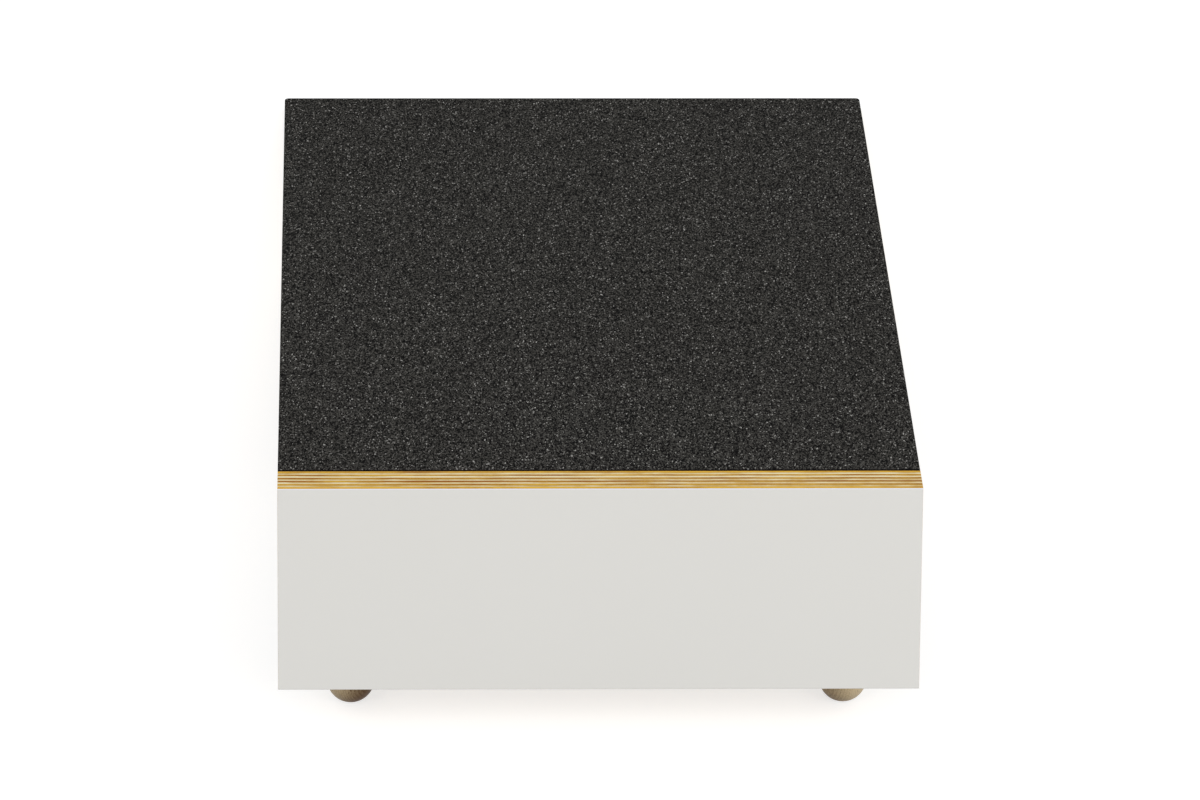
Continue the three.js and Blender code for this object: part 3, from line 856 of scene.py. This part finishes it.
class RAMP_OT_grip_sheet(bpy.types.Operator):
    """Makes the grip sheet, with round corners at the toe and a soft rim"""

    bl_idname = "ramp.grip_sheet"
    bl_label = "Grip sheet"

    def execute(self, context):
        sizes = context.scene.ramp_sizes
        low, high = deck_box("grip_sheet")
        sheet = toe_sheet("grip_surface", "grip_sheet", sizes.toe_corner)
        rim = lambda e: all(v.co.z > high.z - HAIR for v in e.verts) and middle(e).y > low.y + HAIR
        round_edges(sheet, rim, sizes.grip_rim, 3)
        lay(sheet, "deck", "grip", mineral_grip(), "grip_sheet")
        return {"FINISHED"}


class RAMP_OT_deck_board(bpy.types.Operator):
    """Makes the deck's plywood board, cut level with the ground at the toe"""

    bl_idname = "ramp.deck_board"
    bl_label = "Deck board"

    def execute(self, context):
        sizes = context.scene.ramp_sizes
        board = toe_sheet("deck_board", "deck_panel", sizes.toe_corner)
        cut(board, *level_with(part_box("deck_panel")[0].z))
        ease(board, sizes.board_arris)
        lay(board, "deck", "plywood", plywood("deck"), "deck_panel")
        return {"FINISHED"}


class RAMP_OT_riser(bpy.types.Operator):
    """Makes the riser's thick plywood core and its two laminates, each with a soft outer rim"""

    bl_idname = "ramp.riser"
    bl_label = "Riser"

    def execute(self, context):
        sizes = context.scene.ramp_sizes
        board = box("riser_board", *deck_box("riser_core"))
        ease(board, sizes.board_arris / 2)
        lay(board, "riser", "plywood", plywood("riser"), "riser_core")
        for word, corner, slot, material in (
            ("front", 0, "laminate", satin_laminate()),
            ("back", 1, "backing", black_backing()),
        ):
            node = f"riser_{word}_laminate"
            corners = deck_box(node)
            outer = corners[corner].y
            sheet = box(f"{word}_laminate", *corners)
            rim = lambda e: all(at(v.co.y, outer) for v in e.verts)
            round_edges(sheet, rim, sizes.laminate_rim, 4)
            lay(sheet, "riser", slot, material, node)
        return {"FINISHED"}


class RAMP_OT_timbers(bpy.types.Operator):
    """Makes the mid leg's board, the softwood frame and the foot rail"""

    bl_idname = "ramp.timbers"
    bl_label = "Mid leg and timbers"

    def execute(self, context):
        arris = context.scene.ramp_sizes.board_arris
        dress("mid_leg_panel", "mid_leg_board", arris, "mid_leg", "plywood", plywood("leg"))
        arris = context.scene.ramp_sizes.timber_arris
        for node, name, body, run in (
            ("front_batten", "front_cross_batten", "deck", "across"),
            ("mid_batten", "mid_cross_batten", "deck", "across"),
            ("mid_bearer", "hinge_bearer", "deck", "across"),
            ("rear_batten", "rear_cross_batten", "deck", "across"),
            ("side_rail_left", "left_rail", "deck", "down"),
            ("side_rail_right", "right_rail", "deck", "down"),
            ("foot_rail", "foot_carrier", "riser", "across"),
        ):
            dress(node, name, arris, body, "timber", softwood(run))
        return {"FINISHED"}


class RAMP_OT_feet(bpy.types.Operator):
    """Turns the two ball feet, flattens them where they stand and makes their bolts"""

    bl_idname = "ramp.feet"
    bl_label = "Ball feet"

    def execute(self, context):
        sizes = context.scene.ramp_sizes
        radius, steps = sizes.foot_radius, 40
        bottom, top = math.radians(-88), math.asin(sizes.foot_neck / radius)
        angles = [bottom + (top - bottom) * i / steps for i in range(steps + 1)]
        foot = turned("foot", [(radius * math.sin(a), radius * math.cos(a)) for a in angles], 72)
        low, high = deck_box("ball_foot_right")
        place = ((low.x + high.x) / 2, (low.y + high.y) / 2, high.z - sizes.foot_neck)
        put(foot, Matrix.Translation(place))
        cut(foot, *level_with(0))
        lay_pair(foot, "turned_foot", 35, "riser", "beech", stained_beech(), "ball_foot")
        arris = sizes.board_arris
        for side in SIDES:
            dress(f"foot_bolt_{side}", f"hex_bolt_{side}", arris, "riser", "steel", zinc_steel())
        return {"FINISHED"}


def hinge_leaf(name, node, first, sizes):
    """A leaf with its axis on x: a plate on the upper side, and knuckles rolled from it."""
    low, high = deck_box(node)
    half = high.x
    reach, across = high.y - low.y, high.z - low.z
    if first == 1:
        reach, across = across, reach
    radius = across / 2
    room = radius + sizes.knuckle_room
    under = radius - sizes.leaf_thickness
    leaf = box(name, (-half, room, under), (half, reach - radius, radius))
    pitch = 2 * half / sizes.knuckles
    own = []
    for i in range(first, sizes.knuckles, 2):
        start = -half + i * pitch + sizes.knuckle_gap
        own.append((start, start + pitch - 2 * sizes.knuckle_gap))
    for ends in own:
        for x in ends:
            cut(leaf, (x, 0, 0), (1, 0, 0), clear=False)
    in_own = lambda x: any(a < x < b for a, b in own)
    edit(leaf, "FACE", lambda f: faces(f, 1, -1) and in_own(middle(f).x))
    pull((0, -room, 0))
    bpy.ops.mesh.spin(steps=18, angle=KNUCKLE_ROLL, center=(0, 0, 0), axis=(1, 0, 0))
    close_edit()
    face_outwards(leaf)
    smooth(leaf)
    return leaf


class RAMP_OT_hinges(bpy.types.Operator):
    """Rolls the leaves of the two piano hinges"""

    bl_idname = "ramp.hinges"
    bl_label = "Piano hinges"

    def execute(self, context):
        sizes = context.scene.ramp_sizes
        upper = hinge_leaf("upper_leaf", "riser_hinge_deck_leaf", 0, sizes)
        lower = hinge_leaf("lower_leaf", "riser_hinge_riser_leaf", 1, sizes)
        hanging = Matrix(((-1, 0, 0, 0), (0, 0, -1, 0), (0, -1, 0, 0), (0, 0, 0, 1)))
        for word, body in HUNG.items():
            there = TO_ROW @ Matrix.Translation((0, *hinge_axis(f"{body}_fold")))
            leaf = copy_of(upper, f"{word}_upper_leaf", there)
            finish(leaf, "deck", "steel", zinc_steel(), f"{word}_hinge_deck_leaf")
            leaf = copy_of(lower, f"{word}_lower_leaf", there @ hanging)
            finish(leaf, body, "steel", zinc_steel(), f"{word}_hinge_{word}_leaf")
            pin = frame["nodes"][f"{word}_hinge_pin"]
            pin.material_slots[0].material = zinc_steel()
        remove(upper)
        remove(lower)
        return {"FINISHED"}


class RAMP_OT_tie_brackets(bpy.types.Operator):
    """Bends the four tie brackets, each a flange and a round-ended lug"""

    bl_idname = "ramp.tie_brackets"
    bl_label = "Tie brackets"

    def execute(self, context):
        sizes = context.scene.ramp_sizes
        thick = sizes.bracket_thickness
        low, high = deck_box("riser_tie_bracket_right")
        bar_low, bar_high = deck_box("tie_bar_right")
        lug_radius = (bar_high.z - bar_low.z + thick) / 2
        lug_top, lug_inner = low.z + 2 * lug_radius, high.x - thick
        face = low.y + thick
        bracket = box("bracket", low, (high.x, face, high.z))
        cut(bracket, (lug_inner, 0, 0), (1, 0, 0), clear=False)
        cut(bracket, (0, 0, lug_top), (0, 0, 1), clear=False)
        lug = lambda f: faces(f, 1, 1) and middle(f).x > lug_inner and middle(f).z < lug_top
        edit(bracket, "FACE", lug)
        pull((0, high.y - face, 0))
        close_edit()
        inside = lambda m: at(m.x, lug_inner) and at(m.y, face) and m.z < lug_top
        outside = lambda m: at(m.x, high.x) and at(m.y, low.y)
        for axis, place, radius, segments in (
            (0, lambda m: at(m.y, high.y), lug_radius, 14),
            (1, lambda m: at(m.x, low.x), thick, 5),
            (2, inside, sizes.bracket_bend, 5),
            (2, outside, thick, 6),
        ):
            wanted = lambda e: along(e, axis) and place(middle(e))
            round_edges(bracket, wanted, radius, segments)
        face_outwards(bracket)
        ease(bracket, 0.0002, angle=50)
        for word, body in HUNG.items():
            node = f"{word}_tie_bracket"
            step = deck_box(f"{node}_right")[0] - low
            right = copy_of(bracket, word, Matrix.Translation(step))
            lay_pair(right, f"{word}_bracket", 25, body, "steel", zinc_steel(), node)
        remove(bracket)
        return {"FINISHED"}


class RAMP_OT_tie_bars(bpy.types.Operator):
    """Makes the two flat tie bars with their round ends"""

    bl_idname = "ramp.tie_bars"
    bl_label = "Tie bars"

    def execute(self, context):
        low, high = deck_box("tie_bar_right")
        bar = box("bar", low, high)
        round_edges(bar, lambda e: along(e, 0), (high.z - low.z) / 2, 14)
        face_outwards(bar)
        ease(bar, 0.00035, angle=50)
        lay_pair(bar, "flat_bar", 25, "tie_bar_{}", "steel", zinc_steel(), "tie_bar")
        return {"FINISHED"}


class RAMP_OT_pivot_pins(bpy.types.Operator):
    """Turns the pivot pins, with domed heads outside and set tails inside"""

    bl_idname = "ramp.pivot_pins"
    bl_label = "Pivot pins"

    def execute(self, context):
        low, high = deck_box("riser_pivot_pin_right")
        head, shank = (high.z - low.z) / 2, context.scene.ramp_sizes.shank
        tail, tail_long, rim, dome = (shank + head) / 2, 0.0015, 0.0007, 0.0018
        brim = high.x - low.x - dome
        flat = brim - rim
        stations = [(0, tail * 0.75), (0.0003, tail * 0.94), (0.0006, tail), (tail_long, tail)]
        stations += [(tail_long, shank), (flat, shank), (flat, head), (brim, head)]
        angles = [math.radians(90 * i / 7) for i in range(1, 7)]
        stations += [(brim + dome * math.sin(a), head * math.cos(a)) for a in angles]
        pin = turned("pin", stations, 40)
        for word, body in HUNG.items():
            node = f"{word}_pivot_pin"
            low, high = deck_box(f"{node}_right")
            spot = (low.x, (low.y + high.y) / 2, (low.z + high.z) / 2)
            right = copy_of(pin, word, Matrix.Translation(spot) @ OUT)
            lay_pair(right, f"{word}_pin", 40, body, "steel", zinc_steel(), node)
        remove(pin)
        return {"FINISHED"}


def catch_disc(name, thick, radius, arris, rim, hole):
    """A disc with its face up. Rim steps in from the side, and hole gives plain radii."""
    stations = [(0, radius - arris), (arris, radius)]
    stations += [(thick - deep, radius - inwards) for deep, inwards in rim]
    stations += [(thick - deep, wide) for deep, wide in hole]
    disc = turned(name, stations, 56)
    smooth(disc, 30)
    return disc


class RAMP_OT_catches(bpy.types.Operator):
    """Makes the cup magnets under the rails and their keepers on the riser"""

    bl_idname = "ramp.catches"
    bl_label = "Magnet catches"

    def execute(self, context):
        low, high = deck_box("cup_magnet_right")
        flush = high.z - low.z - CUP_ROOM
        cup = catch_disc("cup", flush, (high.x - low.x) / 2, 0.0004, CUP_RIM, CUP_HOLE)
        spot = Vector(((low.x + high.x) / 2, (low.y + high.y) / 2, high.z))
        low, high = deck_box("keeper_right")
        thick, radius = high.y - low.y, (high.x - low.x) / 2
        disc = catch_disc("disc", thick, radius, 0.0002, KEEPER_RIM, KEEPER_HOLE)
        disc_spot = Vector(((low.x + high.x) / 2, low.y, (low.z + high.z) / 2))
        for side, way in SIDES.items():
            there = TO_ROW @ Matrix.Translation((way * spot.x, spot.y, spot.z))
            piece = copy_of(cup, f"magnet_cup_{side}", there @ DOWN)
            finish(piece, "deck", "magnet", nickel_cup(), f"cup_magnet_{side}")
            there = TO_ROW @ Matrix.Translation((way * disc_spot.x, disc_spot.y, disc_spot.z))
            piece = copy_of(disc, f"keeper_disc_{side}", there @ BACK)
            finish(piece, "riser", "steel", zinc_steel(), f"keeper_{side}")
        remove(cup)
        remove(disc)
        return {"FINISHED"}


class RAMP_OT_pads(bpy.types.Operator):
    """Makes the rubber pads that stand on the ground"""

    bl_idname = "ramp.pads"
    bl_label = "Rubber pads"

    def execute(self, context):
        arris = context.scene.ramp_sizes.pad_arris
        dress("toe_pad", "toe_strip", arris, "deck", "rubber", black_rubber())
        for node, name, body in (
            ("ground_pad", "rail_strip", "deck"),
            ("mid_leg_pad", "leg_strip", "mid_leg"),
        ):
            for side in SIDES:
                ends = (f"{node}_{side}", f"{name}_{side}")
                dress(*ends, arris, body, "rubber", black_rubber())
        return {"FINISHED"}


def screw_head(name, crown, sizes):
    """A screw head on z = 0 with a cross recess, flat or a little raised."""
    radius, steps = sizes.screw_head, 5
    sunk, lip, deep = 0.0009, 0.0001, 0.0008
    stations = [(-sunk, radius * 0.72), (-lip, radius)]
    for i in range(steps):
        share = i / steps
        stations.append((crown * (1 - (1 - share) ** 2), radius * (0.985 - 0.64 * share)))
    head = turned(name, stations, 28)
    arm, slot = radius * 0.62, radius * 0.13
    for x, y in ((arm, slot), (slot, arm)):
        cutter = box("recess", (-x, -y, crown - deep), (x, y, crown + deep))
        take(head)
        recess = head.modifiers.new("Recess", "BOOLEAN")
        recess.operation = "DIFFERENCE"
        recess.solver = "EXACT"
        recess.object = cutter
        bpy.ops.object.modifier_apply(modifier=recess.name)
        remove(cutter)
    return head


class RAMP_OT_screws(bpy.types.Operator):
    """Drives the screws of leaves, brackets, cups and keepers"""

    bl_idname = "ramp.screws"
    bl_label = "Wood screws"

    def execute(self, context):
        sizes = context.scene.ramp_sizes
        raised = screw_head("raised_head", sizes.screw_crown, sizes)
        flat = screw_head("flat_head", FLAT_CROWN, sizes)
        driven = {"deck": [], "riser": [], "mid_leg": []}

        def drive(head, body, spot, way):
            turn = Matrix.Rotation(SCREW_TURN * len(driven[body]) + 0.4, 4, "Z")
            place = TO_ROW @ Matrix.Translation(spot) @ way @ turn
            driven[body].append(copy_of(head, "screw", place))

        low, high = deck_box("riser_hinge_deck_leaf")
        half, out = high.x, (high.y - low.y) / 2
        inner = (high.z - low.z) / 2 - sizes.leaf_thickness
        for word, body in HUNG.items():
            y, z = hinge_axis(f"{body}_fold")
            for i in range(sizes.leaf_screws):
                x = -half + (i + 0.5) * 2 * half / sizes.leaf_screws
                drive(raised, "deck", (x, y + out, z + inner), DOWN)
                drive(raised, body, (x, y - inner, z - out), BACK)
            low, high = deck_box(f"{word}_tie_bracket_right")
            flange = (low.x + high.x - sizes.bracket_thickness) / 2
            face = low.y + sizes.bracket_thickness
            for way in SIDES.values():
                for share in (0.25, 0.75):
                    z = low.z + share * (high.z - low.z)
                    drive(raised, body, (way * flange, face, z), BACK)
        for side in SIDES:
            low, high = deck_box(f"cup_magnet_{side}")
            spot = ((low.x + high.x) / 2, (low.y + high.y) / 2, low.z + CUP_SUNK)
            drive(flat, "deck", spot, DOWN)
            low, high = deck_box(f"keeper_{side}")
            spot = ((low.x + high.x) / 2, high.y - KEEPER_SUNK, (low.z + high.z) / 2)
            drive(flat, "riser", spot, BACK)
        for body, screws in driven.items():
            piece = join(screws, f"{body}_screws")
            smooth(piece, 28)
            finish(piece, body, "steel", zinc_steel())
        remove(raised)
        remove(flat)
        return {"FINISHED"}


def two_way(tree, end, lit, shown):
    """Lights the scene with one shader, and shows another to the eye, mirrors and glass."""
    path = add(tree, "LightPath").outputs
    rays = [path[f"Is {kind} Ray"] for kind in ("Camera", "Glossy", "Transmission")]
    seen = calc(tree, "MAXIMUM", *rays)
    both = add(tree, "MixShader", {0: seen, 1: lit.outputs[0], 2: shown.outputs[0]})
    add(tree, end, {"Surface": both.outputs[0]})


def cleared_tree(owner):
    owner.use_nodes = True
    owner.node_tree.nodes.clear()
    return owner.node_tree


def studio_world(level):
    """An even sky for light, and plain white where it is seen or mirrored."""
    world = bpy.data.worlds.new("Studio")
    bpy.context.scene.world = world
    tree = cleared_tree(world)
    sky = add(tree, "Background", {"Color": (0.97, 0.985, 1.0, 1.0), "Strength": level})
    white = add(tree, "Background", {"Color": WHITE, "Strength": 1.0})
    two_way(tree, "OutputWorld", sky, white)


def floor_material(tone, glow):
    """A pale floor that keeps soft shadows and runs out to white."""
    material = bpy.data.materials.new("pale floor")
    tree = cleared_tree(material)
    matt = add(tree, "BsdfDiffuse", {"Color": (tone, tone, tone, 1.0)})
    shine = add(tree, "Emission", {"Color": WHITE, "Strength": glow})
    bright = add(tree, "AddShader", {0: matt.outputs[0], 1: shine.outputs[0]})
    two_way(tree, "OutputMaterial", matt, bright)
    return material


class RAMP_OT_stage(bpy.types.Operator):
    """Sets the floor, the light and the camera"""

    bl_idname = "ramp.stage"
    bl_label = "Stage"

    def execute(self, context):
        stage = context.scene.ramp_stage
        clear_selection()
        bpy.ops.mesh.primitive_plane_add(size=FLOOR_SIZE, location=(0, 0, -FLOOR_DROP))
        floor = bpy.context.active_object
        floor.name = "floor"
        settle()
        floor.data.materials.append(floor_material(stage.floor_tone, stage.floor_glow))
        studio_world(stage.sky)

        view = context.scene.view_settings
        view.view_transform = "Standard"

        for side, way in reversed(SIDES.items()):
            spot = Vector((way * LAMP_PLACE.x, LAMP_PLACE.y, LAMP_PLACE.z))
            turn = (LAMP_AIM - spot).to_track_quat("-Z", "Y").to_euler()
            bpy.ops.object.light_add(type="AREA", location=spot, rotation=turn)
            lamp = bpy.context.active_object
            lamp.name = f"soft_{side}"
            lamp.data.shape = "DISK"
            lamp.data.size = LAMP_SIZE
            lamp.data.energy = getattr(stage, f"{side}_lamp")

        bpy.ops.object.camera_add(location=CAMERA_PLACE, rotation=CAMERA_TURN)
        camera = bpy.context.active_object
        camera.name = "camera"
        camera.data.lens = CAMERA_LENS
        camera.data.sensor_width = 36
        camera.data.clip_end = 100
        context.scene.camera = camera
        return {"FINISHED"}


OPERATORS = (
    RAMP_OT_grip_sheet,
    RAMP_OT_deck_board,
    RAMP_OT_riser,
    RAMP_OT_timbers,
    RAMP_OT_feet,
    RAMP_OT_hinges,
    RAMP_OT_tie_brackets,
    RAMP_OT_tie_bars,
    RAMP_OT_pivot_pins,
    RAMP_OT_catches,
    RAMP_OT_pads,
    RAMP_OT_screws,
    RAMP_OT_stage,
)


class RAMP_PT_pieces(bpy.types.Panel):
    """Sizes, colours and pieces of the ramp"""

    bl_idname = "RAMP_PT_pieces"
    bl_label = "Folding ramp"
    bl_space_type = "VIEW_3D"
    bl_region_type = "UI"
    bl_category = "Ramp"

    def draw(self, context):
        layout = self.layout
        for group in (getattr(context.scene, name) for name in GROUPS):
            column = layout.column(align=True)
            for name in group.__annotations__:
                column.prop(group, name)
        column = layout.column(align=True)
        for piece in OPERATORS:
            column.operator(piece.bl_idname)


GROUPS = {"ramp_sizes": RampSizes, "ramp_colours": RampColours, "ramp_stage": RampStage}
CLASSES = (*GROUPS.values(), *OPERATORS, RAMP_PT_pieces)


def register():
    for one in CLASSES:
        bpy.utils.register_class(one)
    for name, group in GROUPS.items():
        setattr(bpy.types.Scene, name, PointerProperty(type=group))


def unregister():
    for name in GROUPS:
        delattr(bpy.types.Scene, name)
    for one in reversed(CLASSES):
        bpy.utils.unregister_class(one)


def main():
    register()
    for piece in OPERATORS:
        group, name = piece.bl_idname.split(".")
        getattr(getattr(bpy.ops, group), name)()


if __name__ == "__main__":
    main()
